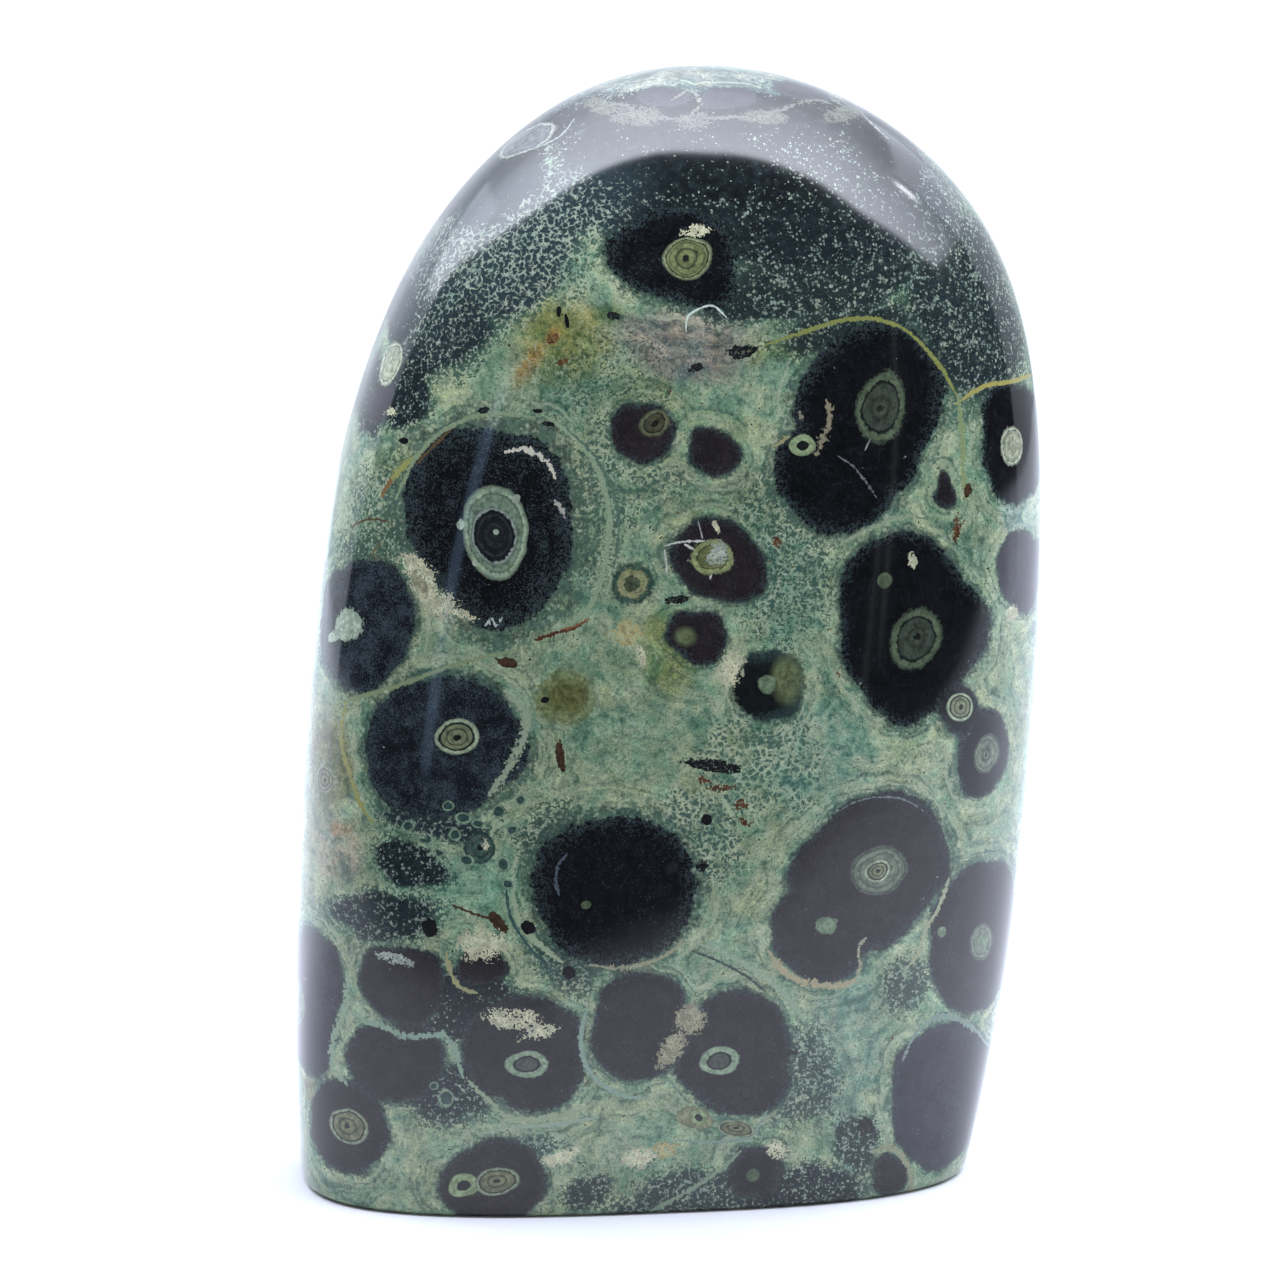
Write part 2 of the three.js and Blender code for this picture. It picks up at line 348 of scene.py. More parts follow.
# Eyes and spots on the front: middle and half sizes in pixels, turn in degrees, look
spots = [
    (686, 258, 24, 19, 12, "oliveEye"), (697, 231, 13, 6, 10, "creamRag"), (391, 362, 14, 21, -15, "paleOval"),
    (496, 532, 31, 44, 4, "broadRing"), (495, 535, 22, 28, 6, "socket"), (496, 532, 3, 3, 0, "blob"),
    (461, 525, 4, 5, 0, "blob"), (516, 499, 4, 4, 0, "blob"), (475, 563, 3, 3, 0, "blob"),
    (347, 625, 18, 16, 15, "blob"), (334, 636, 10, 6, 10, "blob"), (457, 738, 21, 18, 0, "target"),
    (325, 780, 14, 13, 0, "tanEye"), (565, 697, 29, 27, 0, "softOlive"), (567, 697, 18, 16, 0, "oliveCore"),
    (632, 584, 20, 20, 0, "tealSoft"), (632, 584, 15, 15, 0, "speckledTan"), (880, 408, 23, 36, -10, "fuzzy"),
    (803, 446, 13, 13, 0, "ringSmall"), (1012, 447, 15, 19, 0, "paleOval"),
    (713, 557, 22, 17, -5, "crackedEye"), (718, 554, 9, 9, 0, "paleRag"), (716, 527, 3, 6, 15, "creamRag"),
    (685, 637, 9, 8, 0, "oliveHaze"), (760, 688, 27, 26, 0, "inkSoft"), (787, 678, 15, 22, 0, "oliveHaze"),
    (768, 684, 9, 9, 0, "green"), (655, 424, 14, 11, 24, "pebbleEye"), (917, 637, 25, 31, -14, "fuzzy"),
    (885, 580, 8, 8, 10, "chip"), (961, 707, 14, 13, 0, "target"), (986, 755, 15, 19, 0, "many"),
    (880, 870, 28, 25, 0, "many"), (878, 871, 13, 12, 0, "target"), (826, 926, 11, 9, 0, "green"),
    (835, 921, 3, 3, 0, "green"), (982, 941, 14, 19, 0, "many"), (983, 941, 7, 8, 0, "green"),
    (942, 932, 5, 6, 0, "green"), (298, 1003, 12, 28, 0, "many"), (309, 1088, 8, 12, 0, "tanDisc"),
    (347, 1126, 22, 18, 0, "tanEye"), (527, 1064, 21, 14, -8, "almond"), (719, 1062, 21, 14, -5, "almond"),
    (696, 1119, 20, 11, -6, "tanDisc"), (699, 1118, 9, 8, 0, "ringSmall"), (736, 1128, 18, 10, -5, "tanEye"),
    (464, 1186, 15, 12, 8, "ringSmall"), (497, 1181, 22, 15, 0, "tanEye"), (753, 1175, 7, 6, 0, "chip"),
    (480, 848, 16, 17, 0, "tealDisc"), (485, 845, 4, 5, 0, "creamRag"), (430, 928, 8, 8, 0, "black"),
    (528, 928, 8, 6, -20, "black"), (569, 972, 6, 6, 0, "black"), (707, 820, 6, 5, 0, "black"),
    (498, 924, 12, 7, -42, "brown"), (712, 765, 27, 6, -8, "blackRag"), (740, 352, 15, 6, 8, "blackRag"),
    (696, 368, 9, 4, 5, "blackRag"), (690, 1020, 13, 15, -34, "tanRag"), (672, 1050, 9, 20, -30, "tanRag"),
    (414, 566, 18, 10, -25, "creamRag"), (425, 584, 12, 22, 24, "creamRag"), (442, 605, 13, 11, 20, "creamRag"),
    (460, 613, 15, 4, -12, "creamRag"), (512, 1020, 26, 9, -8, "creamRag"), (540, 1032, 16, 7, 10, "creamRag"),
    (628, 633, 14, 12, 0, "orange"), (731, 670, 11, 17, -15, "creamRag"), (641, 655, 5, 9, 10, "creamRag"),
    (614, 316, 8, 4, -20, "blackRag"), (567, 322, 2, 7, 10, "black"), (553, 338, 7, 4, 30, "rust"),
    (562, 362, 5, 3, 20, "rust"), (559, 311, 2, 5, -10, "black"), (777, 543, 5, 4, 0, "rust"),
    (703, 780, 6, 4, -10, "rust"), (721, 788, 12, 3, 8, "rust"), (741, 806, 9, 5, -30, "rust"),
    (744, 822, 7, 3, -20, "rust"), (957, 528, 4, 10, -8, "rust"), (968, 490, 4, 7, -10, "brown"),
    (677, 600, 12, 4, 5, "blackRag"), (560, 757, 4, 16, 6, "brown"), (508, 663, 10, 5, -10, "brown"),
    (540, 1005, 14, 6, 10, "blackRag"), (664, 1150, 12, 8, 0, "orange"), (640, 1158, 16, 10, 10, "creamRag"),
    (776, 1150, 12, 9, -30, "creamRag"), (560, 1158, 18, 7, 20, "creamRag"), (783, 1054, 14, 4, 12, "blackRag"),
    (866, 1127, 8, 11, 0, "blackRag"), (480, 945, 22, 13, 10, "creamRag"), (392, 957, 16, 5, -12, "paleRag"),
    (545, 700, 4, 3, 0, "black"), (392, 412, 7, 4, 10, "creamRag"), (404, 441, 5, 3, 0, "black"),
    (484, 410, 6, 3, 0, "blackRag"), (538, 411, 4, 2, -10, "blackRag"), (549, 424, 5, 2, -20, "blackRag"),
    (527, 140, 36, 14, 22, "shell"), (913, 561, 4, 7, 10, "creamRag"), (1012, 612, 8, 6, 0, "creamRag"),
    (420, 585, 5, 12, 34, "tanRag"), (448, 806, 6, 5, 0, "bubble"), (463, 818, 8, 6, 20, "bubble"),
    (455, 835, 6, 6, 0, "bubble"), (478, 824, 7, 5, 0, "bubble"), (499, 812, 7, 6, 0, "bubble"),
    (512, 830, 6, 6, 0, "bubble"), (466, 860, 7, 6, 0, "bubble"), (503, 864, 7, 9, 0, "bubble"),
    (521, 800, 6, 5, 0, "bubble"), (438, 852, 8, 5, 10, "bubble"), (424, 838, 9, 6, -20, "bubble"),
    (408, 826, 8, 6, 0, "bubble"), (508, 884, 6, 5, 0, "bubble"), (446, 1098, 8, 9, 0, "bubble"),
    (434, 1086, 5, 4, 0, "bubble"), (586, 905, 5, 4, 0, "chip"), (702, 866, 5, 7, -10, "blackRag"),
    # the last five spots are pale swirls on the top, painted dark as painted shade against the strong light from
    # above
    (672, 868, 5, 7, -30, "blackRag"), (636, 116, 22, 9, 4, "topCreamShaded"), (692, 120, 15, 8, 0, "topCreamShaded"),
    (762, 117, 22, 6, 4, "topCreamShaded"), (846, 112, 28, 9, 24, "topCreamShaded"), (600, 106, 24, 7, -20, "topCreamShaded"),
]

# Veins, cracks and pale rims: points in pixels, width in pixels, raggedness, colour
strokes = [
    ([(765, 345), (810, 330), (848, 319), (880, 320), (905, 330), (925, 348), (943, 370), (955, 393), (960, 402)],
     4.2, 0.6, (112, 118, 66)),
    ([(955, 404), (985, 386), (1010, 382), (1036, 373)], 4.2, 0.5, (138, 132, 76)),
    ([(958, 394), (962, 430), (963, 470), (966, 500)], 5.0, 0.9, (112, 126, 88)),
    ([(686, 332), (688, 316), (703, 307), (714, 306), (727, 318)], 2.0, 0.5, (176, 190, 180)),
    ([(664, 546), (680, 542), (700, 541), (722, 540)], 1.8, 1.0, (170, 174, 166)),
    ([(683, 543), (700, 553), (715, 562), (710, 580)], 2.2, 0.8, (176, 178, 170)),
    ([(664, 547), (666, 560), (667, 575)], 1.8, 0.5, (160, 166, 158)),
    ([(703, 541), (701, 532), (698, 521)], 1.4, 0.5, (140, 140, 140)),
    ([(897, 375), (882, 392), (870, 412), (858, 418)], 2.0, 0.6, (120, 128, 118)),
    ([(878, 425), (870, 440), (864, 452)], 1.6, 0.6, (120, 124, 118)),
    ([(827, 400), (830, 420), (822, 440), (816, 457)], 6.0, 1.3, (116, 112, 92)),
    ([(790, 435), (782, 442), (772, 447)], 4.0, 1.0, (126, 128, 96)),
    ([(800, 412), (802, 420)], 5.0, 1.0, (110, 108, 92)),
    ([(842, 543), (866, 530), (890, 521), (915, 515)], 4.0, 1.0, (120, 136, 112)),
    ([(836, 455), (852, 465), (866, 482), (878, 500)], 1.6, 1.4, (90, 92, 96)),
    ([(838, 812), (855, 802), (880, 797), (905, 800), (925, 812)], 1.6, 1.3, (96, 104, 104)),
    ([(416, 578), (422, 588), (430, 600), (438, 608)], 3.0, 1.3, (92, 78, 60)),
    ([(505, 452), (522, 449), (540, 456), (552, 468), (555, 478)], 4.0, 1.2, (172, 170, 156)),
    ([(555, 500), (560, 508), (565, 518)], 4.0, 1.2, (150, 150, 142)),
    ([(548, 418), (580, 442), (600, 475), (609, 515), (606, 556), (596, 594), (576, 620), (545, 636)],
     5.0, 0.6, (120, 138, 112)),
    ([(566, 428), (596, 458), (616, 500), (618, 540), (612, 575)], 2.6, 0.9, (74, 96, 84)),
    ([(484, 628), (492, 618), (496, 627), (503, 616)], 2.0, 0.5, (150, 160, 154)),
    ([(533, 641), (552, 634), (570, 629), (587, 620)], 4.0, 0.9, (70, 44, 34)),
    ([(560, 630), (575, 626), (590, 618)], 2.0, 0.8, (116, 80, 58)),
    ([(496, 659), (506, 662), (515, 668)], 5.0, 0.8, (52, 40, 34)),
    ([(455, 424), (440, 440), (425, 455), (416, 466)], 3.0, 0.8, (78, 64, 44)),
    ([(392, 523), (375, 519), (360, 522), (350, 528)], 2.2, 0.8, (72, 58, 44)),
    ([(398, 470), (388, 485), (382, 497)], 4.0, 0.8, (110, 84, 52)),
    ([(412, 458), (400, 470), (392, 478)], 7.0, 0.8, (124, 128, 76)),
    ([(332, 706), (360, 697), (400, 685), (440, 670), (480, 658), (520, 650)], 4.0, 0.6, (112, 126, 96)),
    ([(346, 700), (341, 740), (350, 775), (360, 803), (372, 822)], 5.0, 0.9, (126, 126, 74)),
    ([(505, 690), (520, 705), (527, 722), (520, 748), (505, 775), (488, 797)], 8.0, 1.1, (126, 140, 118)),
    ([(526, 690), (534, 712), (530, 735)], 3.0, 0.8, (100, 124, 106)),
    ([(512, 890), (520, 922), (541, 946), (563, 963)], 5.0, 0.8, (132, 146, 120)),
    ([(505, 882), (511, 918), (530, 948), (552, 972)], 3.0, 0.5, (52, 74, 72)),
    ([(347, 972), (346, 1000), (340, 1020), (332, 1045), (334, 1068), (346, 1084)], 7.0, 1.0, (120, 140, 118)),
    ([(352, 1012), (368, 1022), (386, 1027), (405, 1036), (430, 1036), (446, 1036), (456, 1055), (463, 1078)],
     6.0, 0.9, (116, 138, 120)),
    ([(466, 1078), (488, 1100), (512, 1118), (556, 1117), (590, 1106)], 5.0, 0.9, (126, 140, 114)),
    ([(588, 1005), (581, 1032), (583, 1058), (597, 1080), (622, 1095), (650, 1099)], 4.5, 0.8, (116, 138, 124)),
    ([(478, 1134), (520, 1127), (560, 1124), (600, 1117)], 3.5, 0.8, (124, 142, 126)),
    ([(446, 952), (451, 975), (462, 988), (479, 994)], 4.0, 0.9, (134, 134, 98)),
    ([(768, 950), (782, 970), (805, 982), (835, 986), (855, 981)], 6.5, 1.0, (140, 134, 106)),
    ([(856, 980), (860, 965), (858, 948), (866, 938)], 3.5, 1.0, (128, 130, 106)),
    ([(949, 878), (940, 905), (926, 930), (918, 955), (905, 970)], 4.5, 0.9, (132, 138, 112)),
    ([(902, 1062), (915, 1035), (935, 1018), (955, 1018), (975, 1030), (988, 1046)], 4.5, 0.9, (104, 122, 112)),
    ([(694, 942), (722, 952), (748, 966), (773, 984), (792, 1003), (806, 1024)], 4.0, 0.7, (124, 142, 120)),
    ([(690, 950), (720, 962), (746, 976), (768, 994)], 2.5, 0.8, (50, 62, 60)),
    ([(872, 1152), (888, 1147), (903, 1158), (911, 1178), (910, 1196)], 5.0, 1.0, (120, 124, 100)),
    ([(590, 965), (620, 968), (650, 962), (676, 948), (690, 925)], 3.5, 1.2, (128, 130, 106)),
    # The next four strokes are pale swirls on the top, painted dark: painted shade against the strong light from
    # above
    ([(672, 100), (690, 90), (700, 105), (688, 116)], 3.0, 1.3, (96, 100, 92)),
    ([(705, 118), (760, 116), (790, 106), (820, 100), (845, 112)], 4.0, 1.4, (80, 84, 78)),
    ([(590, 112), (620, 104), (650, 116), (690, 120)], 4.0, 1.4, (80, 84, 78)),
    ([(826, 84), (850, 100), (870, 122), (890, 140)], 3.0, 1.2, (100, 106, 100)),
    ([(497, 156), (530, 150), (560, 136), (575, 118)], 2.6, 0.8, (108, 116, 110)),
    ([(676, 1140), (715, 1142), (748, 1138), (762, 1120), (768, 1108)], 3.0, 0.7, (108, 128, 116)),
    ([(720, 945), (700, 938), (690, 930)], 7.0, 1.0, (118, 142, 122)),
    ([(640, 1216), (680, 1196), (720, 1170), (742, 1150)], 4.0, 0.8, (110, 128, 108)),
    ([(452, 905), (470, 912), (488, 918), (500, 915)], 2.5, 0.9, (60, 42, 34)),
    ([(395, 500), (420, 452), (455, 424), (495, 413), (535, 418)], 4.0, 1.0, (112, 128, 100)),
    ([(378, 560), (372, 552), (385, 540)], 2.0, 0.8, (90, 84, 60)),
    ([(700, 930), (712, 905), (716, 880)], 3.0, 1.1, (120, 134, 108)),
    ([(567, 853), (558, 866), (556, 882), (560, 898)], 2.4, 1.3, (64, 72, 80)),
]

# Washes of colour over the green ground: middle and half sizes in pixels, turn, colour, share
washes = [
    (562, 345, 50, 46, 20, (122, 118, 64), 0.85), (534, 362, 9, 26, -32, (140, 106, 56), 0.75),
    (552, 336, 7, 12, -30, (138, 98, 52), 0.7), (605, 316, 24, 14, -10, (128, 122, 66), 0.55),
    (335, 765, 28, 50, 0, (84, 80, 40), 0.85), (336, 855, 30, 36, 0, (134, 122, 104), 0.8),
    (345, 830, 14, 9, 0, (160, 110, 66), 0.6), (690, 350, 72, 36, 0, (124, 112, 106), 0.85),
    (672, 652, 34, 40, 0, (108, 116, 72), 0.85), (715, 508, 62, 26, 0, (104, 118, 84), 0.5),
    (640, 402, 52, 32, 0, (100, 112, 78), 0.6), (715, 425, 40, 18, 0, (108, 120, 86), 0.6),
    (715, 485, 44, 16, 0, (116, 122, 98), 0.6), (820, 770, 56, 70, 0, (126, 142, 124), 0.6),
    (620, 745, 70, 36, 0, (98, 120, 98), 0.6), (790, 590, 34, 66, 0, (86, 118, 102), 0.5),
    (795, 348, 38, 12, 10, (122, 126, 74), 0.7), (840, 1045, 44, 80, 0, (112, 130, 116), 0.6),
    (450, 888, 60, 34, 0, (126, 148, 126), 0.6), (600, 1150, 80, 30, 0, (116, 136, 118), 0.4),
    # The six washes on this line and the next two darken the top and the upper left: partly the dark ground there,
    # partly painted shade against the strong light from above
    (700, 96, 260, 40, 0, (84, 86, 88), 0.86), (430, 230, 60, 90, 30, (60, 66, 70), 0.8),
    (510, 150, 90, 34, 32, (52, 54, 60), 0.85), (392, 300, 20, 90, 14, (56, 62, 68), 0.8),
    (895, 145, 80, 50, -40, (52, 54, 58), 0.85), (920, 200, 60, 70, -30, (62, 68, 70), 0.7),
    (360, 470, 40, 50, 0, (118, 134, 112), 0.5), (1016, 512, 26, 34, 0, (150, 158, 148), 0.6),
    (992, 600, 20, 60, 0, (112, 134, 114), 0.5), (590, 665, 60, 26, 8, (96, 124, 100), 0.4),
    (560, 390, 60, 26, 0, (78, 104, 84), 0.6), (500, 885, 60, 20, -6, (104, 136, 110), 0.6),
    (400, 465, 22, 20, 30, (122, 126, 84), 0.6), (430, 600, 20, 30, 20, (140, 144, 116), 0.5),
    (620, 1175, 60, 30, 10, (112, 126, 100), 0.4), (850, 1120, 40, 40, 0, (108, 128, 112), 0.4),
    (980, 860, 30, 30, 0, (126, 140, 118), 0.4), (570, 610, 60, 26, 20, (92, 118, 100), 0.4),
]

# Speckled ground: middle and half sizes in pixels, turn, share of dark, and 1 for foam or 0 for grains
speckles = [
    (760, 195, 250, 92, -4, 0.60, 0.2), (690, 166, 150, 40, -6, 0.74, 0.0), (700, 120, 230, 30, 0, 0.78, 0.0),
    # the rows at (505, 185) and (885, 142) set a high share of dark partly as painted shade, against the strong
    # light from above
    (505, 185, 60, 34, 38, 0.90, 0.0), (885, 142, 60, 40, -40, 0.84, 0.0), (965, 300, 78, 130, 12, 0.53, 0.4),
    (830, 278, 130, 40, 6, 0.52, 0.3), (490, 165, 90, 40, 32, 0.80, 0.0), (398, 300, 22, 80, 14, 0.74, 0.0),
    (560, 200, 90, 46, 14, 0.56, 0.8), (490, 262, 124, 80, 24, 0.53, 1.0), (438, 342, 70, 40, 24, 0.56, 0.6),
    (385, 500, 44, 50, 0, 0.34, 0.6), (420, 290, 40, 70, 24, 0.56, 0.8), (365, 400, 20, 60, 8, 0.6, 0.3),
    (404, 402, 36, 34, 0, 0.56, 0.3), (375, 916, 70, 28, 0, 0.56, 0.5), (410, 862, 46, 22, -24, 0.58, 0.3),
    (560, 845, 46, 46, 0, 0.42, 0.4), (430, 822, 70, 20, -10, 0.55, 0.7), (700, 1192, 110, 32, 14, 0.49, 0.5),
    (800, 1188, 90, 24, 4, 0.55, 0.4), (470, 1015, 90, 30, 0, 0.58, 0.3), (440, 1100, 34, 30, 0, 0.50, 0.5),
    (760, 760, 70, 60, 0, 0.30, 1.0), (780, 560, 60, 90, 0, 0.34, 0.5), (700, 840, 60, 50, 0, 0.36, 1.0),
    (620, 380, 70, 60, 0, 0.20, 0.2), (560, 960, 44, 30, -30, 0.44, 0.4), (850, 330, 90, 34, 8, 0.52, 0.3),
    (740, 300, 110, 20, -6, 0.52, 0.3), (380, 545, 60, 30, 0, 0.40, 0.2), (800, 1080, 44, 60, 0, 0.44, 0.4),
    (905, 985, 34, 34, 0, 0.44, 0.3), (462, 1002, 44, 40, 0, 0.64, 0.2), (452, 1090, 60, 36, 0, 0.54, 0.4),
    (600, 500, 40, 90, 0, 0.30, 0.4), (330, 330, 20, 60, 0, 0.6, 0.1), (590, 1190, 30, 20, 0, 0.5, 0.3),
    (860, 1140, 30, 40, 0, 0.5, 0.3), (640, 490, 50, 30, 0, 0.3, 0.5), (510, 1150, 60, 18, 10, 0.45, 0.4),
    (1000, 480, 24, 24, 0, 0.4, 0.2),
]

rear = dict(  # markings out of the picture's sight are strewn, to match the ones in it
    seed=11, tries=700, eyeShare=0.62, washes=16, speckles=12, strokes=40, flecks=120,
    # mm: reach of the orbs and the gap between them, half sizes, and the strokes' width and step
    largest=11.0, smallest=2.2, gapBetween=0.9, washSize=(5, 15), speckleSize=(8, 22), fleckSize=(0.4, 1.8),
    strokeWidth=(0.25, 0.8), strokeStep=1.3,
    tones=["ink", "night", "umber", "ink", "umber", "pine"],
    eyes=["target", "tanEye", "oliveEye", "many", "almond", "fuzzy", "ringSmall"],
    fleckLooks=["black", "blackRag", "rust", "creamRag", "paleRag", "tanRag"],
    washColours=[(126, 128, 84), (120, 114, 110), (128, 144, 124), (98, 110, 76), (142, 132, 112)],
    strokeColours=[(122, 138, 112), (126, 126, 80), (116, 136, 120), (150, 156, 142), (70, 52, 40)],
)


class Layer:  # marks that lie clear of each other, so that their local coordinates never blend
    def __init__(self, fields):
        self.near = np.zeros(len(skin))
        self.away = np.zeros((len(skin), 3))
        self.fields = {name: np.zeros((len(skin), 4)) for name in fields}

    def add(self, zone, near, away, **values):
        self.near[zone], self.away[zone] = near, away
        for name, value in values.items():
            self.fields[name][zone] = value


def freeLayer(layers, zone):  # the lowest layer above every mark that this one touches
    taken = [k for k, layer in enumerate(layers) if np.any(layer.near[zone] > 0)]
    return layers[min(max(taken, default=-1) + 1, len(layers) - 1)]


nearFrom, nearTo = 0.7, 1.3  # mm past a mark's edge, between which its own coordinates end
layerCount = 4
farOff = 40.0  # mm, the gap to an orb where there is none yet
orbBlend = 0.8  # mm over which neighbouring orbs blend what they are like
groundColour = (127, 139, 112)
wanderShare = dict(spot=0.6, stroke=0.5, patch=1.6)  # how much of the outlines' wander each mark takes up


def placesIn(away, axes, turned=0):  # right, up and out parts of offsets, in axes turned by some degrees
    right, up, out = axes
    c, s = math.cos(math.radians(turned)), math.sin(math.radians(turned))
    return away @ (c * right + s * up), away @ (c * up - s * right), away @ out


class Marks:  # every field that the finish reads, one value for each point of the skin
    def __init__(self):
        count = len(skin)
        self.gap = np.full(count, farOff)
        self.weight = np.zeros(count)
        self.soft, self.halo, self.bloom = np.zeros(count), np.zeros(count), np.zeros(count)
        self.orbTone = np.zeros((count, 3))
        self.ground = np.tile(paint(*groundColour), (count, 1))
        self.dark, self.foam = np.zeros(count), np.zeros(count)
        self.spotLayers = [Layer(["rings", "rim", "disc", "edge"]) for _ in range(layerCount)]
        self.strokeLayers = [Layer(["colour"]) for _ in range(layerCount)]

    def addOrb(self, centre, axes, reach, soft, halo, tone, bloom, deep=1.3):
        away = awayFrom(centre)
        u, v, w = placesIn(away, axes)
        outline = np.maximum(reachAt(reach, np.arctan2(v, u) % (2 * np.pi)), 0.3)
        size = np.sqrt((np.hypot(u, v) / outline) ** 2 + (w / (deep * max(reach))) ** 2) + 1e-6
        gap = np.linalg.norm(away, axis=1) * (1 - 1 / size)
        weight = np.exp(-np.maximum(gap, -3) / orbBlend) + 1e-12
        self.gap = np.minimum(self.gap, gap)
        self.weight += weight
        self.soft += weight * soft
        self.halo += weight * halo
        self.bloom += weight * bloom
        self.orbTone += weight[:, None] * tone

    def addSpot(self, centre, axes, half, turned, look):
        close = np.flatnonzero(np.linalg.norm(skin - centre, axis=1) < 1.6 * max(half) + 3)
        away = (skin[close] - centre) + wanderShare["spot"] * (skinRipple[close] - ripple(centre[None])[0])
        u, v, w = placesIn(away, axes, turned)
        local = np.stack([u / half[0], v / half[1], w / (1.4 * max(half))], -1)
        size = np.linalg.norm(local, axis=1) + 1e-6
        past = np.linalg.norm(away, axis=1) * (1 - 1 / size)
        kept = past < nearTo
        zone = close[kept]
        if not len(zone):
            return
        freeLayer(self.spotLayers, zone).add(
            zone, 1 - easeStep(nearFrom, nearTo, past[kept]), local[kept],
            rings=(*look["rings"], 1), rim=(*paint(*look["rim"]), 1), disc=(*paint(*look["disc"]), 1),
            edge=(look.get("edge", 0.04), look.get("ragged", 0.06), look["fine"], 1))

    def addStroke(self, points, width, ragged, colour):
        low, high = points.min(0) - 3, points.max(0) + 3
        close = np.flatnonzero(np.all((skin > low) & (skin < high), axis=1))
        place = skin[close] + wanderShare["stroke"] * skinRipple[close]
        path = points + wanderShare["stroke"] * ripple(points)
        best, away, along = np.full(len(close), 9.0), np.zeros((len(close), 3)), np.zeros(len(close))
        for k in range(len(path) - 1):
            step = path[k + 1] - path[k]
            share = np.clip((place - path[k]) @ step / max(step @ step, 1e-9), 0, 1)
            offset = place - path[k] - share[:, None] * step
            distance = np.linalg.norm(offset, axis=1)
            closer = distance < best
            best[closer], away[closer] = distance[closer], offset[closer]
            along[closer] = (k + share[closer]) / (len(path) - 1)
        half = width / 2 * (0.45 + 0.55 * easeStep(0, 0.18, along) * easeStep(0, 0.18, 1 - along))
        kept = best - half < nearTo
        zone = close[kept]
        if not len(zone):
            return
        freeLayer(self.strokeLayers, zone).add(
            zone, 1 - easeStep(nearFrom, nearTo, (best - half)[kept]), away[kept] / half[kept, None],
            colour=(*paint(*colour), ragged))

    def share(self, centre, axes, half, turned):  # 1 in the middle of a patch, fading out past its edge
        away = skin - centre + wanderShare["patch"] * (skinRipple - ripple(centre[None])[0])
        u, v, w = placesIn(away, axes, turned)
        size = np.sqrt((u / half[0]) ** 2 + (v / half[1]) ** 2 + (w / (1.5 * max(half))) ** 2)
        return 1 - easeStep(0.6, 1.25, size)

    def addWash(self, centre, axes, half, turned, colour, amount):
        share = (amount * self.share(centre, axes, half, turned))[:, None]
        self.ground += share * (paint(*colour) - self.ground)

    def addSpeckle(self, centre, axes, half, turned, dark, foam):
        share = self.share(centre, axes, half, turned)
        self.foam += share * (foam - self.foam)
        self.dark = np.maximum(self.dark, share * dark)


def strokePath(points):  # a smooth run of skin points under a line drawn on the picture
    points = np.array(points, float)
    points = np.array([2 * points[0] - points[1], *points, 2 * points[-1] - points[-2]])
    path = []
    for a, b, c, d in zip(points, points[1:], points[2:], points[3:]):
        steps = max(2, int(np.linalg.norm(c - b) / 5))  # one for every 5 pixels
        for t in np.arange(steps) / steps:
            path.append(b + 0.5 * t * (c - a + t * (2 * a - 5 * b + 4 * c - d + t * (3 * (b - c) + d - a))))
    path.append(points[-2])
    return np.array([spotAt(*p) for p in path])


marks = Marks()
cameraAxes = (viewRight, viewUp, toCamera)
for at, reach, soft, halo, tone, bloom in orbs.values():
    marks.addOrb(spotAt(*at), cameraAxes, [r * pixel for r in reach], soft, halo, tones[tone], bloom)
for x, y, wide, high, turned, look in spots:
    marks.addSpot(spotAt(x, y), cameraAxes, (wide * pixel, high * pixel), turned, looks[look])
for points, width, ragged, colour in strokes:
    marks.addStroke(strokePath(points), width * pixel, ragged, colour)
for x, y, wide, high, turned, colour, amount in washes:
    marks.addWash(spotAt(x, y), cameraAxes, (wide * pixel, high * pixel), turned, colour, amount)
for x, y, wide, high, turned, dark, foam in speckles:
    marks.addSpeckle(spotAt(x, y), cameraAxes, (wide * pixel, high * pixel), turned, dark, foam)
print("front markings placed:", len(orbs), "orbs,", len(spots), "spots,", len(strokes), "strokes")


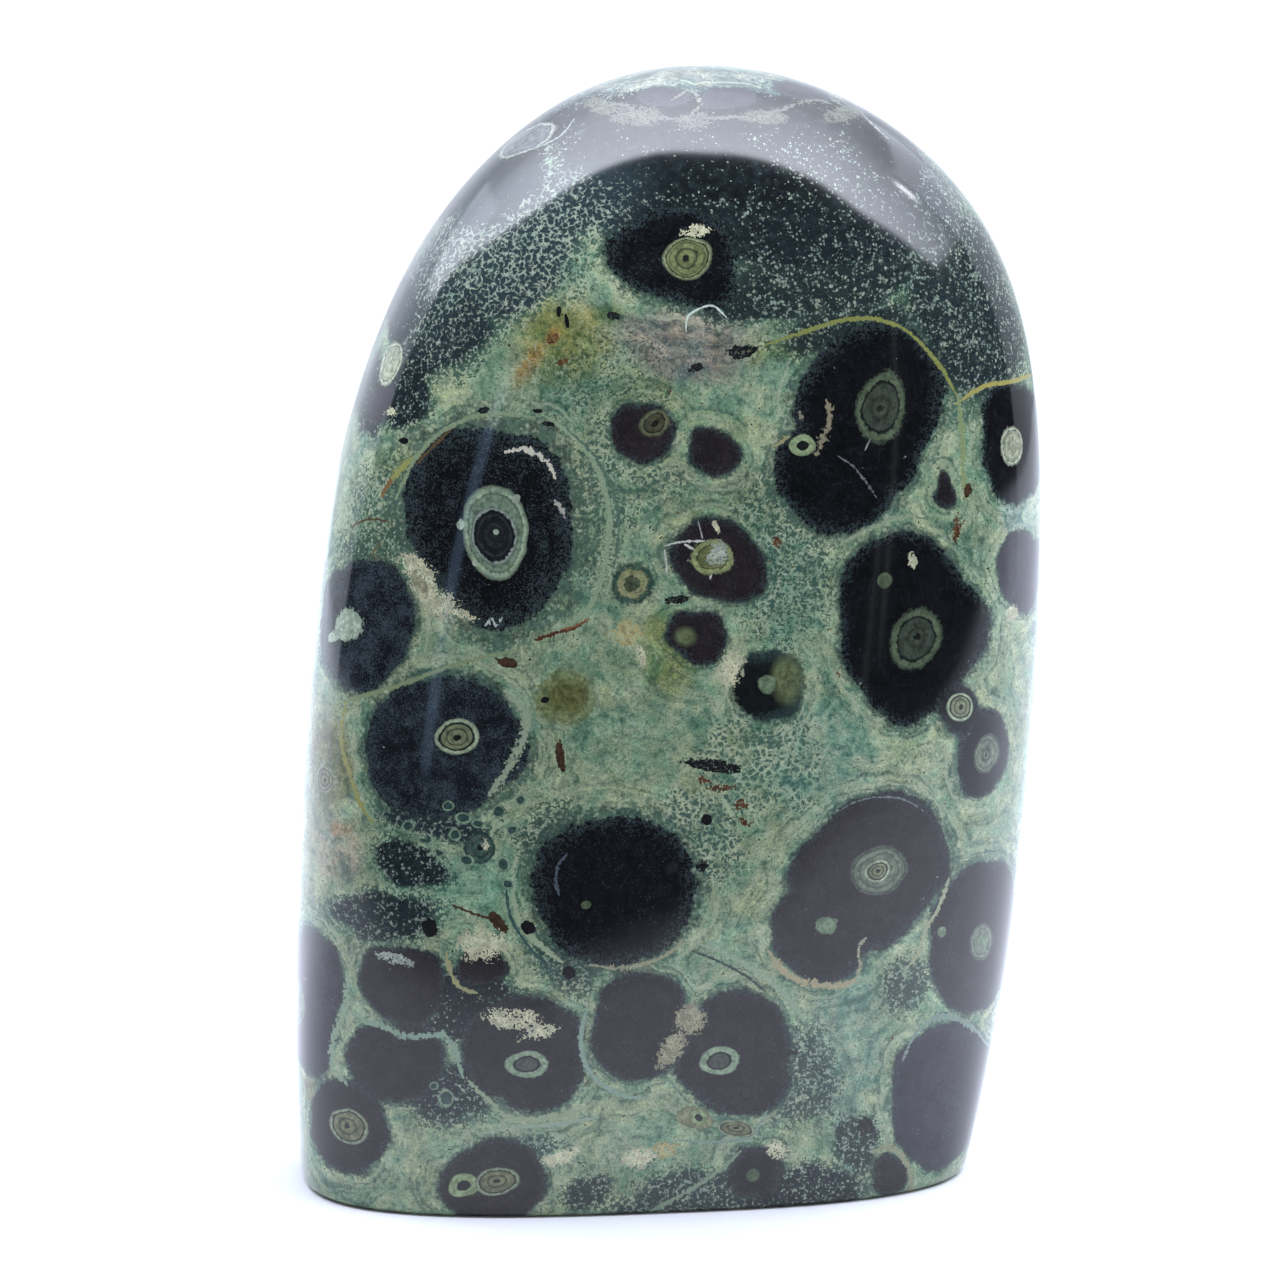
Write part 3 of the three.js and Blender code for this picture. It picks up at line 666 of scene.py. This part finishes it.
def strewRear():
    dice = np.random.default_rng(rear["seed"])
    turnedAway = -0.02  # facing the camera less than this is out of its sight
    facing = skinNormals @ toCamera
    seen = skin[facing > 0][::5]
    hidden = np.flatnonzero((facing < turnedAway) & (skin[:, 2] > 0.5))

    def hiddenSpot():
        k = dice.choice(hidden)
        out = skinNormals[k].astype(float)
        right = np.cross([0, 0, 1], out)
        right /= max(np.linalg.norm(right), 1e-6)
        return k, skin[k], (right, np.cross(out, right), out), np.linalg.norm(seen - skin[k], axis=1).min()

    def hue(colour):
        return tuple(np.clip(np.array(colour) + dice.uniform(-10, 10), 12, 240))

    def oneOf(kind):
        return rear[kind][dice.integers(len(rear[kind]))]

    for _ in range(rear["washes"]):
        k, centre, axes, room = hiddenSpot()
        colour = oneOf("washColours")
        half = np.minimum(dice.uniform(*rear["washSize"], 2), room / 1.1 + 1)
        marks.addWash(centre, axes, half, dice.uniform(0, 180), hue(colour), dice.uniform(0.4, 0.7))
    for _ in range(rear["speckles"]):
        k, centre, axes, room = hiddenSpot()
        half = np.minimum(dice.uniform(*rear["speckleSize"], 2), room / 1.1 + 1)
        marks.addSpeckle(centre, axes, half, dice.uniform(0, 180), dice.uniform(0.4, 0.85), dice.uniform(0, 0.8))
    for attempt in range(rear["tries"]):
        k, centre, axes, room = hiddenSpot()
        most = rear["largest"] - (rear["largest"] - rear["smallest"]) * attempt / rear["tries"]
        size = min(dice.uniform(0.55, 1) * most, marks.gap[k] - rear["gapBetween"], room + 1)
        if size < rear["smallest"]:
            continue
        reach = size * dice.uniform(0.74, 1.12, 8)
        marks.addOrb(centre, axes, reach, dice.uniform(0.25, 0.9), dice.uniform(0.3, 1.8),
                     tones[oneOf("tones")], dice.uniform(0, 0.8))
        if dice.random() < rear["eyeShare"] and size > 3:
            look = looks[oneOf("eyes")]
            offset = dice.uniform(-0.25, 0.25, 2) * size
            half = size * dice.uniform(0.22, 0.38) * dice.uniform(0.75, 1.2, 2)
            middle = centre + offset[0] * axes[0] + offset[1] * axes[1]
            marks.addSpot(middle, axes, half, dice.uniform(0, 180), look)
    for _ in range(rear["flecks"]):
        k, centre, axes, room = hiddenSpot()
        look = looks[oneOf("fleckLooks")]
        half = np.minimum(dice.uniform(*rear["fleckSize"]) * dice.uniform(0.5, 1.3, 2), room)
        marks.addSpot(centre, axes, np.maximum(half, 0.3), dice.uniform(0, 180), look)
    for _ in range(rear["strokes"]):
        k, centre, axes, room = hiddenSpot()
        heading, path = dice.uniform(0, 2 * np.pi), [centre]
        for _ in range(dice.integers(6, 16)):
            heading += dice.uniform(-0.45, 0.45)
            ahead = path[-1] + rear["strokeStep"] * (math.cos(heading) * axes[0] + math.sin(heading) * axes[1])
            point, out, _, _ = surface.find_nearest(Vector(ahead))
            if np.dot(out, toCamera) > turnedAway:
                break
            path.append(np.array(point))
        colour = oneOf("strokeColours")
        if len(path) > 3:
            width, ragged = dice.uniform(*rear["strokeWidth"]), dice.uniform(0.5, 1.1)
            marks.addStroke(np.array(path), width, ragged, hue(colour))


strewRear()
marks.soft /= marks.weight
marks.halo /= marks.weight
marks.bloom /= marks.weight
marks.orbTone /= marks.weight[:, None]
print("rear markings strewn")


class Wire:  # a node's output, so that shader maths reads as plain sums
    def __init__(self, shader, socket):
        self.shader, self.socket = shader, socket

    def math(self, operation, *values):
        return self.shader.node("ShaderNodeMath", dict(operation=operation), dict(enumerate(values)))

    def __add__(self, other): return self.math("ADD", self, other)
    def __radd__(self, other): return self.math("ADD", other, self)
    def __sub__(self, other): return self.math("SUBTRACT", self, other)
    def __rsub__(self, other): return self.math("SUBTRACT", other, self)
    def __mul__(self, other): return self.math("MULTIPLY", self, other)
    def __rmul__(self, other): return self.math("MULTIPLY", other, self)
    def __truediv__(self, other): return self.math("DIVIDE", self, other)

    def sibling(self, output):  # another output of the same node
        return Wire(self.shader, self.socket.node.outputs[output])

    def ease(self, low, high, kind="SMOOTHSTEP"):  # 0 at low, 1 at high
        return self.shader.node("ShaderNodeMapRange", dict(interpolation_type=kind),
                                {0: self, 1: low, 2: high, 3: 0.0, 4: 1.0})


class Shader:
    def __init__(self, owner):  # a material, a light or a world
        owner.use_nodes = True
        self.owner, self.nodes, self.links = owner, owner.node_tree.nodes, owner.node_tree.links
        self.nodes.clear()

    def node(self, kind, settings=None, inputs=None, output=0):
        node = self.nodes.new(kind)
        for key, value in (settings or {}).items():
            setattr(node, key, value)
        for key, value in (inputs or {}).items():
            if isinstance(value, Wire):
                self.links.new(value.socket, node.inputs[key])
            else:
                node.inputs[key].default_value = value
        return Wire(self, node.outputs[output]) if node.outputs else None

    def mark(self, name, output="Fac"):  # a field painted on the mesh
        return self.node("ShaderNodeAttribute", dict(attribute_name=name), output=output)

    def noise(self, where, size, detail=2.0, roughness=0.5, distortion=0.0, output=0):
        return self.node("ShaderNodeTexNoise", dict(noise_dimensions="3D"), {
            "Vector": where, "Scale": 1 / size, "Detail": detail, "Roughness": roughness,
            "Distortion": distortion}, output)

    def blend(self, share, first, second, mode="MIX"):  # colours
        def full(colour):
            return colour if isinstance(colour, Wire) else (*colour, 1)
        return self.node("ShaderNodeMix", dict(data_type="RGBA", blend_type=mode),
                         {0: share, 6: full(first), 7: full(second)}, 2)

    def vector(self, operation, first, second=None, scale=None):
        inputs = {0: first}
        if second is not None:
            inputs[1] = second
        if scale is not None:
            inputs["Scale"] = scale
        output = 1 if operation in ("LENGTH", "DISTANCE", "DOT_PRODUCT") else 0
        return self.node("ShaderNodeVectorMath", dict(operation=operation), inputs, output)


eyeDyes = dict(  # the darker lines and dots of the eyes
    rimRing=(40, 50, 46), discRing=(44, 50, 44), gapRing=(24, 28, 28), midRing=(36, 40, 36),
    dot=(26, 27, 24), outline=(44, 52, 48),
)


def dyed(colours):
    return {name: paint(*colour) for name, colour in colours.items()}


def paintSpots(s, colour, index, grain, fleck, dust):  # one layer of eyes and spots over a colour
    name, dye = "spot" + str(index), dyed(eyeDyes)
    near = s.mark(name + "Place", "Alpha").ease(0.78, 0.86)
    size = s.vector("LENGTH", s.mark(name + "Place", "Vector"))
    edge = s.node("ShaderNodeSeparateColor", inputs={0: s.mark(name + "Edge", "Color")})
    softness, ragged, fine = edge, edge.sibling(1), edge.sibling(2)
    rings = s.node("ShaderNodeSeparateColor", inputs={0: s.mark(name + "Rings", "Color")})
    rimIn, gapIn, dot = rings, rings.sibling(1), rings.sibling(2)
    torn = ragged.ease(0.35, 0.5)  # a very ragged spot is also pitted
    core = size + (fleck - 0.5) * 0.10
    rough = size + (grain - 0.5) * (ragged * 3.2) + (dust - 0.5) * (torn * 1.6) + (fleck - 0.5) * (torn * 1.8)
    inner = core + (grain - 0.5) * (ragged * 1.1 + 0.04)
    pits = 1 - (grain * 0.5 + dust * 0.5).ease(0.53, 0.60) * torn
    cover = ((1 - rough) / (softness + 0.02)).ease(-0.5, 0.5) * near * pits
    wave = ((inner * 21).math("SINE", inner * 21) + (inner * 47).math("SINE", inner * 47) * 0.5).ease(0.2, 1.2)
    rim = s.blend(wave * fine * 0.45, s.mark(name + "Rim", "Color"), dye["rimRing"])
    disc = s.blend(wave * fine * 0.75, s.mark(name + "Disc", "Color"), dye["discRing"])
    spot = s.blend((rimIn - inner).ease(-0.03, 0.03), rim, dye["gapRing"])
    spot = s.blend((gapIn - inner).ease(-0.03, 0.03), spot, disc)
    midway = inner - dot * 2.7
    midRing = midway.math("ABSOLUTE", midway).ease(0.08, 0.03) * dot.ease(0.05, 0.1)
    spot = s.blend(midRing * 0.7, spot, dye["midRing"])
    spot = s.blend((dot - inner).ease(-0.03, 0.03), spot, dye["dot"])
    outline = inner.ease(0.90, 1.0) * (1 - torn) * softness.ease(0.2, 0.05)
    spot = s.blend(outline * 0.45, spot, dye["outline"])
    shade = s.blend((grain + fleck).ease(0.75, 1.25), (0.66, 0.68, 0.68), (1.34, 1.32, 1.28))
    return s.blend(cover, colour, s.blend(1.0, spot, shade, "MULTIPLY"))


def paintStrokes(s, colour, index, grain):  # one layer of veins, cracks and rims over a colour
    name = "stroke" + str(index)
    near = s.mark(name + "Place", "Alpha").ease(0.78, 0.86)
    size = s.vector("LENGTH", s.mark(name + "Place", "Vector"))
    rough = size + (grain - 0.5) * (s.mark(name + "Colour", "Alpha") * 5)
    return s.blend(rough.ease(1.25, 0.75) * near, colour, s.mark(name + "Colour", "Color"))


finish = dict(
    # sizes of the noises, of the net's cells and of the grains, mm
    sizes=dict(dust=0.24, speck=0.21, grain=0.5, fleck=0.95, cloud=2.6, broad=9.0, patch=3.6,
               bend=1.3, net=1.05, netFine=0.6, star=0.36),
    dyes=dict(
        paleGrain=(146, 156, 140), thread=(154, 164, 140), paleSpeck=(122, 132, 127),
        darkCrumb=(30, 36, 34), rustCrumb=(84, 58, 42),
        darkFringe=(36, 52, 50), greenFringe=(70, 92, 80), paleRim=(146, 156, 132),
        night=(16, 20, 23), nightGreen=(30, 40, 41), foamCell=(66, 92, 82), foamCellDark=(42, 56, 60),
        inkSpeck=(50, 62, 64), inkBloom=(62, 74, 80), inkFleck=(140, 148, 144)),
    roughness=0.08, refraction=1.54,
)


def jasperFinish():
    s = Shader(bpy.data.materials.new("polishedJasper"))
    size, dye = finish["sizes"], dyed(finish["dyes"])
    place = s.vector("SCALE", s.node("ShaderNodeTexCoord", output="Object"), scale=1 / mm)  # mm
    dust = s.noise(place, size["dust"], 1.0, 0.5)
    speck = s.noise(s.vector("ADD", place, (40, 7, 19)), size["speck"], 1.5, 0.6)
    grain = s.noise(place, size["grain"], 2.0, 0.62)
    fleck = s.noise(place, size["fleck"], 2.0, 0.6)
    cloud = s.noise(place, size["cloud"], 3.0, 0.55)
    broad = s.noise(place, size["broad"], 2.0, 0.5)
    patch = s.noise(s.vector("ADD", place, (11, 31, 5)), size["patch"], 2.5, 0.55, 0.4)
    gap, soft, halo, bloom, foam, dark = (s.mark(name) for name in ("gap", "soft", "halo", "bloom", "foam", "dark"))

    # a net of pale threads round small dark cells
    bent = s.vector("ADD", place, s.vector("SCALE", s.noise(place, size["bend"], output=1), scale=0.8))
    thread, threadFine = (
        s.node("ShaderNodeTexVoronoi", dict(feature="DISTANCE_TO_EDGE"), {"Vector": bent, "Scale": 1 / cell})
        for cell in (size["net"], size["netFine"]))

    # layers that run along the outlines of the orbs
    lift = s.node("ShaderNodeCombineXYZ", inputs={0: gap * 1.25 + (cloud - 0.5) * 3.0})
    layers = s.noise(s.vector("ADD", lift, s.vector("SCALE", place, scale=0.13)), 1.0, 3.0, 0.62)
    hug = gap.ease(7.0, 1.0) * 0.5 + 0.45  # they fade out away from the orbs

    # green ground: every step shades the painted colour, so that washes stay visible
    base = s.mark("ground", "Color")
    sand = speck * 0.6 + grain * 0.4
    ground = base
    for share, shade in (
        (cloud.ease(0.60, 0.32), (0.70, 0.78, 0.79)),
        (cloud.ease(0.50, 0.72), (1.20, 1.18, 1.14)),
        (broad.ease(0.40, 0.66), (0.92, 0.98, 1.00)),
        (patch.ease(0.48, 0.60), (0.80, 0.98, 0.98)),
        (patch.ease(0.44, 0.32), (1.06, 1.02, 0.92)),
        (patch.ease(0.56, 0.68) * 0.8, (0.62, 0.72, 0.76)),
        (sand.ease(0.51, 0.60), (1.30, 1.25, 1.20)),
        (sand.ease(0.48, 0.38), (0.62, 0.70, 0.70)),
        (layers.ease(0.54, 0.62) * hug, (1.30, 1.28, 1.24)),
        (layers.ease(0.47, 0.40) * hug, (0.42, 0.53, 0.58)),
        (fleck.ease(0.54, 0.66) * 0.85, (0.46, 0.58, 0.61)),
        ((fleck + (grain - 0.5) * 0.6).ease(0.42, 0.30) * 0.8, (1.45, 1.35, 1.25)),
    ):
        ground = s.blend(share, ground, s.blend(1.0, ground, shade, "MULTIPLY"))
    ground = s.blend((grain + (cloud - 0.5) * 0.5).ease(0.60, 0.72) * 0.5, ground, dye["paleGrain"])
    net = (thread + (grain - 0.5) * 0.16).ease(0.12, 0.03) * (foam * 0.7 + 0.3) * cloud.ease(0.36, 0.56)
    ground = s.blend(net * 0.7, ground, dye["thread"])
    ground = s.blend(dark.ease(0.3, 0.6) * 0.65, ground, dye["paleSpeck"])
    crumb = (fleck + (dust - 0.5) * 0.5).ease(0.29, 0.24)
    ground = s.blend(crumb, ground, s.blend(broad.ease(0.5, 0.56), dye["darkCrumb"], dye["rustCrumb"]))

    # dark fringe and thin pale rim beside the orbs
    fringe = (gap / (halo + 0.1) + (grain - 0.5) * 2.6 + (cloud - 0.5) * 1.4).ease(1.15, 0.1)
    fringeColour = s.blend(fleck.ease(0.4, 0.65), dye["darkFringe"], dye["greenFringe"])
    ground = s.blend(fringe * 0.85, ground, fringeColour)
    line = gap - halo * 0.75 - 1.2 + (cloud - 0.5) * 1.6
    rimLine = line.math("ABSOLUTE", line).ease(0.30, 0.10) * (broad + (grain - 0.5) * 0.5).ease(0.48, 0.56)
    ground = s.blend(rimLine * 0.45, ground, dye["paleRim"])

    # ground that is dark with pale grains, or a pale foam with dark cells
    star = s.node("ShaderNodeTexVoronoi", inputs={"Vector": place, "Scale": 1 / size["star"]})
    lot = s.node("ShaderNodeSeparateColor", inputs={0: star.sibling("Color")})
    grains = (speck + (fleck - 0.5) * 0.5) * 0.5 + (0.30 + lot * 0.55 - star * 0.5) * 0.5
    cells = 0.64 - thread * 0.6 - threadFine * 0.9 + (grain - 0.5) * 0.7
    speckle = grains + (cells - grains) * foam
    level = 0.5 + (dark + (cloud - 0.5) * 0.35 - 0.5) * 0.52
    sharp = 0.035 + foam * 0.06
    darkShare = ((level - speckle) / sharp).ease(-1.0, 1.0) * dark.ease(0.04, 0.14)
    night = s.blend(fleck.ease(0.4, 0.75), dye["night"], dye["nightGreen"])
    night = s.blend(dark.ease(0.56, 0.36), night, s.blend(1.0, base, (0.20, 0.30, 0.34), "MULTIPLY"))
    night = s.blend(foam * 0.7, night, s.blend(dark.ease(0.3, 0.5), dye["foamCell"], dye["foamCellDark"]))
    colour = s.blend(darkShare, ground, night)

    # inside the orbs
    inkShade = s.blend((layers * 0.4 + cloud * 0.6).ease(0.35, 0.65), (0.75, 0.75, 0.78), (1.3, 1.35, 1.35))
    ink = s.blend(1.0, s.mark("orbTone", "Color"), inkShade, "MULTIPLY")
    nearEdge = (gap / (halo + 0.5)).ease(-1.3, 0.0)
    specks = (speck * 0.5 + grain * 0.5 + nearEdge * 0.10).ease(0.52, 0.64)
    ink = s.blend(specks * (nearEdge * 0.45 + 0.18), ink, dye["inkSpeck"])
    mottle = (cloud * 0.3 + speck * 0.5 + fleck * 0.2 + bloom * 0.12).ease(0.58, 0.70)
    ink = s.blend(mottle * (bloom * 0.5 + 0.08), ink, dye["inkBloom"])
    ink = s.blend((fleck + (dust - 0.5) * 0.35).ease(0.76, 0.84) * 0.8, ink, dye["inkFleck"])
    rough = (grain - 0.5) * 1.5 + (speck - 0.5) * 1.3 + (fleck - 0.5) * 2.0
    ragged = gap + (cloud - 0.5) * 0.8 + rough * soft + (dust - 0.5) * 0.3
    colour = s.blend(ragged.ease(0.22, -0.18), colour, ink)

    for index in range(layerCount):
        colour = paintStrokes(s, colour, index, grain)
    for index in range(layerCount):
        colour = paintSpots(s, colour, index, grain, fleck, dust)
    dusting = s.blend(dust.ease(0.2, 0.8), (0.84, 0.84, 0.84), (1.16, 1.16, 1.16))
    colour = s.blend(1.0, colour, dusting, "MULTIPLY")

    # the orbs take a better polish than the ground
    polish = finish["roughness"] + (1 - ragged.ease(0.1, -0.1)) * 0.035 + (grain - 0.5) * 0.03
    shine = s.node("ShaderNodeBsdfPrincipled", inputs={
        "Base Color": colour, "Roughness": polish, "IOR": finish["refraction"]})
    s.node("ShaderNodeOutputMaterial", inputs={"Surface": shine})
    return s.owner


def putMark(name, values):
    values = np.asarray(values, np.float32)
    if values.ndim == 1:
        mesh.attributes.new(name, "FLOAT", "POINT").data.foreach_set("value", values)
    else:
        full = np.ones((len(values), 4), np.float32)
        full[:, :values.shape[1]] = values
        mesh.attributes.new(name, "FLOAT_COLOR", "POINT").data.foreach_set("color", full.ravel())


for name in ("gap", "soft", "halo", "bloom", "orbTone", "ground", "dark", "foam"):
    putMark(name, getattr(marks, name))
for prefix, layers in (("spot", marks.spotLayers), ("stroke", marks.strokeLayers)):
    for index, layer in enumerate(layers):
        putMark(prefix + str(index) + "Place", np.column_stack([layer.away, layer.near]))
        for name, values in layer.fields.items():
            putMark(prefix + str(index) + name.capitalize(), values)

polishedStone = bpy.data.objects.new("polishedStone", mesh)
bpy.context.scene.collection.objects.link(polishedStone)
mesh.materials.append(jasperFinish())
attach(polishedStone, "root")
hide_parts("stone")
print("finish made")


def throughStops(place, stops):  # a value that runs straight from stop to stop, each (place, value)
    total = stops[0][1]
    for (start, before), (end, after) in zip(stops, stops[1:]):
        total = place.ease(start, end, "LINEAR") * (after - before) + total
    return total


def addSoftbox(name, centre, size, facing, upright, tint, glow):  # glow is the radiance at x, y, z in mm
    lamp = bpy.data.lights.new(name, "AREA")
    lamp.shape, lamp.size, lamp.size_y = "RECTANGLE", size[0] * mm, size[1] * mm
    lamp.energy = math.pi * lamp.size * lamp.size_y
    lamp.color = tint
    s = Shader(lamp)
    place = s.node("ShaderNodeSeparateXYZ", inputs={0: s.node("ShaderNodeNewGeometry")})
    emission = s.node("ShaderNodeEmission", inputs={
        "Color": (1, 1, 1, 1), "Strength": glow(*(place.sibling(axis) * (1 / mm) for axis in range(3)))})
    s.node("ShaderNodeOutputLight", inputs={"Surface": emission})
    box = bpy.data.objects.new(name, lamp)
    box.visible_camera = False
    out = -Vector(facing).normalized()
    side = Vector(upright).cross(out).normalized()
    turned = Matrix((side, out.cross(side), out)).transposed().to_4x4()
    box.matrix_world = Matrix.Translation([c * mm for c in centre]) @ turned
    bpy.context.scene.collection.objects.link(box)
    return box


ceiling = dict(
    height=600, front=-640, back=900, half=1000,
    # the front edge, as y at x, mm, and how much dimmer the sides are
    edge=[(-1000, 370), (-860, 300), (-591, -36), (-454, -147), (-366, -185), (-214, -205), (-47, -248),
          (79, -316), (269, -393), (459, -521), (797, -561)],
    side=[(-1000, 0.33), (-600, 0.65), (-300, 1.0), (300, 1.0), (600, 0.75), (900, 0.5)],
    # radiance by distance behind the front edge, mm
    glow=[(-12, 0.0), (22, 10.6), (240, 8.2), (480, 4.8), (640, 2.8), (900, 1.8), (1200, 1.4)],
    tint=(0.93, 0.97, 1.10),
)
walls = dict(
    half=500, back=900, leftFront=157, rightFront=40,
    leftGlow=[(0, 1.2), (150, 1.15), (400, 1.5)], rightGlow=[(0, 0.5), (400, 1.6)], backGlow=[(0, 1.0), (400, 1.2)],
    tint=(0.90, 0.97, 1.10),
)
# a wide dim light from the front that leaves no reflection
fill = dict(at=(-120, -720, 330), size=(700, 520), glow=1.7, tint=(1.0, 1.0, 1.0))


def ceilingGlow(x, y, z):
    behind = y - throughStops(x, ceiling["edge"])
    return throughStops(behind, ceiling["glow"]) * throughStops(x, ceiling["side"])


def addTent():
    c, w = ceiling, walls
    addSoftbox("ceiling", (0, (c["front"] + c["back"]) / 2, c["height"]),
               (2 * c["half"], c["back"] - c["front"]), (0, 0, -1), (0, 1, 0), c["tint"], ceilingGlow)
    middle = c["height"] / 2
    for name, x, facing in (("left", -w["half"], (1, 0, 0)), ("right", w["half"], (-1, 0, 0))):
        front, glow = w[name + "Front"], w[name + "Glow"]
        addSoftbox(name + "Wall", (x, (front + w["back"]) / 2, middle), (w["back"] - front, c["height"]),
                   facing, (0, 0, 1), w["tint"], lambda x, y, z: throughStops(z, glow))
    addSoftbox("backWall", (0, w["back"], middle), (2 * w["half"], c["height"]),
               (0, -1, 0), (0, 0, 1), w["tint"], lambda x, y, z: throughStops(z, w["backGlow"]))
    front = addSoftbox("fill", fill["at"], fill["size"], -Vector(fill["at"]), (0, 0, 1), fill["tint"],
                       lambda x, y, z: fill["glow"])
    front.visible_glossy = False


# Narrow gaps in the tent's front: angle round the stone and height at both ends, width, radiance, tint
slits = [
    dict(distance=800, low=(-38.0, -90), high=(-29.5, 290), width=56, glow=0.85, tint=(0.6, 0.92, 1.42)),
    dict(distance=800, low=(28.5, -70), high=(33.8, 300), width=9, glow=0.5, tint=(1, 1, 1.05)),
    dict(distance=800, low=(25.5, -90), high=(27.5, 20), width=8, glow=0.5, tint=(1, 1, 1.05)),
]
# a small lamp high on the right, that shines at a place on the stone
glint = dict(at=(609, -53, 671), end=(641, -41, 636), aim=(30, -10, 110), stretch=1.5, width=45, glow=17,
             tint=(0.95, 0.98, 1.0))


def addSlits():
    def slitEnd(distance, angle, height):
        return Vector((distance * math.sin(math.radians(angle)), -distance * math.cos(math.radians(angle)), height))

    for number, slit in enumerate(slits):
        ends = [slitEnd(slit["distance"], *slit[end]) for end in ("low", "high")]
        middle, upright = (ends[0] + ends[1]) / 2, ends[1] - ends[0]
        addSoftbox("slit" + str(number), middle, (slit["width"], upright.length), (-middle.x, -middle.y, 0),
                   upright, slit["tint"], lambda x, y, z: slit["glow"])
    start, end = Vector(glint["at"]), Vector(glint["end"])
    middle, upright = (start + end) / 2, end - start
    addSoftbox("glint", middle, (glint["width"], glint["stretch"] * upright.length),
               Vector(glint["aim"]) - middle, upright, glint["tint"], lambda x, y, z: glint["glow"])


table = dict(
    front=-300, back=900, half=1000,
    edgeLeft=-105, edgeRight=-205, edgeTurn=(-35, 110),  # where the lit part ends in front
    # painted shade: how light the table's colour is, by distance behind the edge of its lit part, mm
    shade=[(-22, 0.02), (22, 0.39), (110, 0.55), (190, 0.9)], tint=(0.97, 0.99, 1.04),
)


def addTable():
    half = table["half"]
    corners = [(-half, table["front"]), (half, table["front"]), (half, table["back"]), (-half, table["back"])]
    top = bpy.data.meshes.new("tableTop")
    top.from_pydata([(x * mm, y * mm, 0) for x, y in corners], [], [(0, 1, 2, 3)])
    s = Shader(bpy.data.materials.new("paleTable"))
    place = s.node("ShaderNodeSeparateXYZ", inputs={0: s.node("ShaderNodeTexCoord", output="Object")})
    x, y = place * (1 / mm), place.sibling(1) * (1 / mm)
    # painted shade: the table's colour is dark in front, past the edge of the lit part, and lighter behind the
    # stone
    inside = y - table["edgeLeft"] - x.ease(*table["edgeTurn"]) * (table["edgeRight"] - table["edgeLeft"])
    shade = s.vector("SCALE", table["tint"], scale=throughStops(inside, table["shade"]))
    matt = s.node("ShaderNodeBsdfPrincipled", inputs={
        "Base Color": shade, "Roughness": 0.9, "Specular IOR Level": 0.0})
    s.node("ShaderNodeOutputMaterial", inputs={"Surface": matt})
    top.materials.append(s.owner)
    tableTop = bpy.data.objects.new("tableTop", top)
    bpy.context.scene.collection.objects.link(tableTop)


sky = dict(lit=0.035, seen=1.1)  # strength as a light, and as the white that the camera sees


def addSky():
    world = bpy.data.worlds.new("tentSky")
    bpy.context.scene.world = world
    s = Shader(world)
    dim, white = (s.node("ShaderNodeBackground", inputs={"Color": (1, 1, 1, 1), "Strength": strength})
                  for strength in (sky["lit"], sky["seen"]))
    toEye = s.node("ShaderNodeLightPath", output="Is Camera Ray")
    mixed = s.node("ShaderNodeMixShader", inputs={0: toEye, 1: dim, 2: white})
    s.node("ShaderNodeOutputWorld", inputs={"Surface": mixed})


addTent()
addSlits()
addTable()
addSky()
bpy.context.scene.view_settings.view_transform = "Standard"
print("tent and table set")
